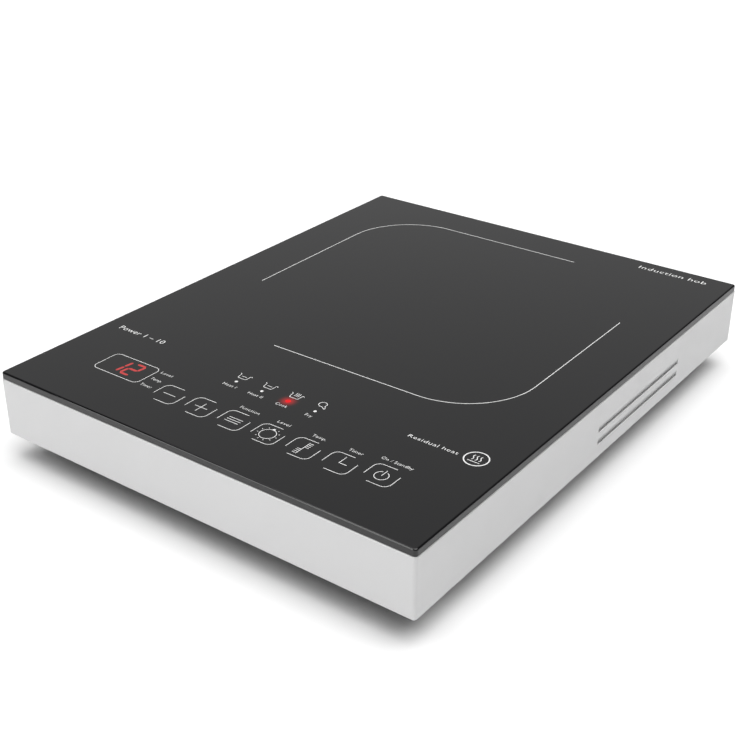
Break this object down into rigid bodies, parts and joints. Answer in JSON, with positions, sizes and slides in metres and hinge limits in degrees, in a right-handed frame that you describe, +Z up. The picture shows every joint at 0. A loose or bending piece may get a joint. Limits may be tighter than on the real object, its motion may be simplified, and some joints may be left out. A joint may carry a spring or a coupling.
{
  "type": "portable induction cooktop",
  "caption": "Flat portable induction cooktop: black glass top in a silver frame, touch keys in front, coil and fan inside a black base.",
  "frame": {"origin": "on the floor, under the middle of the housing", "axes": "+Z up, -Y the user's side with the touch keys, +Y the rear with the cord inlet"},
  "size_m": [0.29, 0.37, 0.0573],
  "materials": {
    "glass_ceramic": "polished black glass ceramic",
    "silver_paint": "satin silver paint",
    "black_plastic": "fine matt texture",
    "black_rubber": "soft matt rubber",
    "screw_steel": "zinc-plated",
    "spring_steel": "drawn wire",
    "white_plastic": "moulded natural white",
    "copper": "enamelled copper",
    "ferrite": "sintered dark grey",
    "mica": "pressed mica",
    "silicone": "white silicone",
    "sensor_bead": "glass bead",
    "lead_sleeve": "woven glass sleeve",
    "lead_red": "insulated wire",
    "brass_post": "turned",
    "board_green": "solder mask",
    "bare_aluminium": "extruded, bare",
    "chip_black": "moulded epoxy",
    "capacitor_box": "moulded box",
    "can_dark": "shrink sleeve",
    "varistor_blue": "dipped epoxy",
    "lamp_red": "clear tinted epoxy"
  },
  "bodies": {
    "housing": {"auxiliary_transformer": "chip_black", "board_connectors": "white_plastic", "bottom_shell": "black_plastic", "bridge_rectifier": "chip_black", "buzzer": "chip_black", "choke_core": "ferrite", "choke_winding": "copper", "coil_former": "white_plastic", "coil_leads": "lead_sleeve", "coil_springs": "spring_steel", "coil_terminals": "brass_post", "coil_winding": "copper", "control_board": "board_green", "control_chips": "chip_black", "cord_gland": "black_rubber", "cord_inlet_plate": "black_plastic", "current_transformer": "chip_black", "display_module": "chip_black", "electrolytic_cans": "can_dark", "fan_bearing": "black_plastic", "fan_board": "board_green", "fan_housing": "black_plastic", "fan_stator": "screw_steel", "fan_windings": "copper", "ferrite_bars": "ferrite", "filter_board": "board_green", "foot_front_left": "black_rubber", "foot_front_right": "black_rubber", "foot_rear_left": "black_rubber", "foot_rear_right": "black_rubber", "glass_ceramic_plate": "glass_ceramic", "glass_seal": "black_rubber", "heatsink": "bare_aluminium", "heatsink_screws": "screw_steel", "housing_screws": "screw_steel", "indicator_lamps": "lamp_red", "inner_leads": "lead_red", "inner_screws": "screw_steel", "insulating_pad": "silicone", "mains_capacitor": "capacitor_box", "mains_fuse": "sensor_bead", "mains_terminal_block": "white_plastic", "mica_disc": "mica", "pan_sensor": "sensor_bead", "panel_carrier": "black_plastic", "power_board": "board_green", "power_transistor": "chip_black", "resonant_capacitor": "capacitor_box", "ribbon_cable": "white_plastic", "sensor_cap": "silicone", "sensor_seat": "white_plastic", "sensor_spring": "spring_steel", "side_frame": "silver_paint", "smoothing_capacitor": "capacitor_box", "touch_springs": "spring_steel", "varistor": "varistor_blue"},
    "fan_rotor": {"impeller": "black_plastic", "rotor_magnet": "ferrite", "rotor_shaft": "screw_steel"}
  },
  "joints": [
    {"name": "fan_spin", "type": "hinge", "parent": "housing", "child": "fan_rotor", "pos_m": [-0.082, -0.04, 0.0144], "axis": [0, 0, 1], "continuous": true}
  ]
}
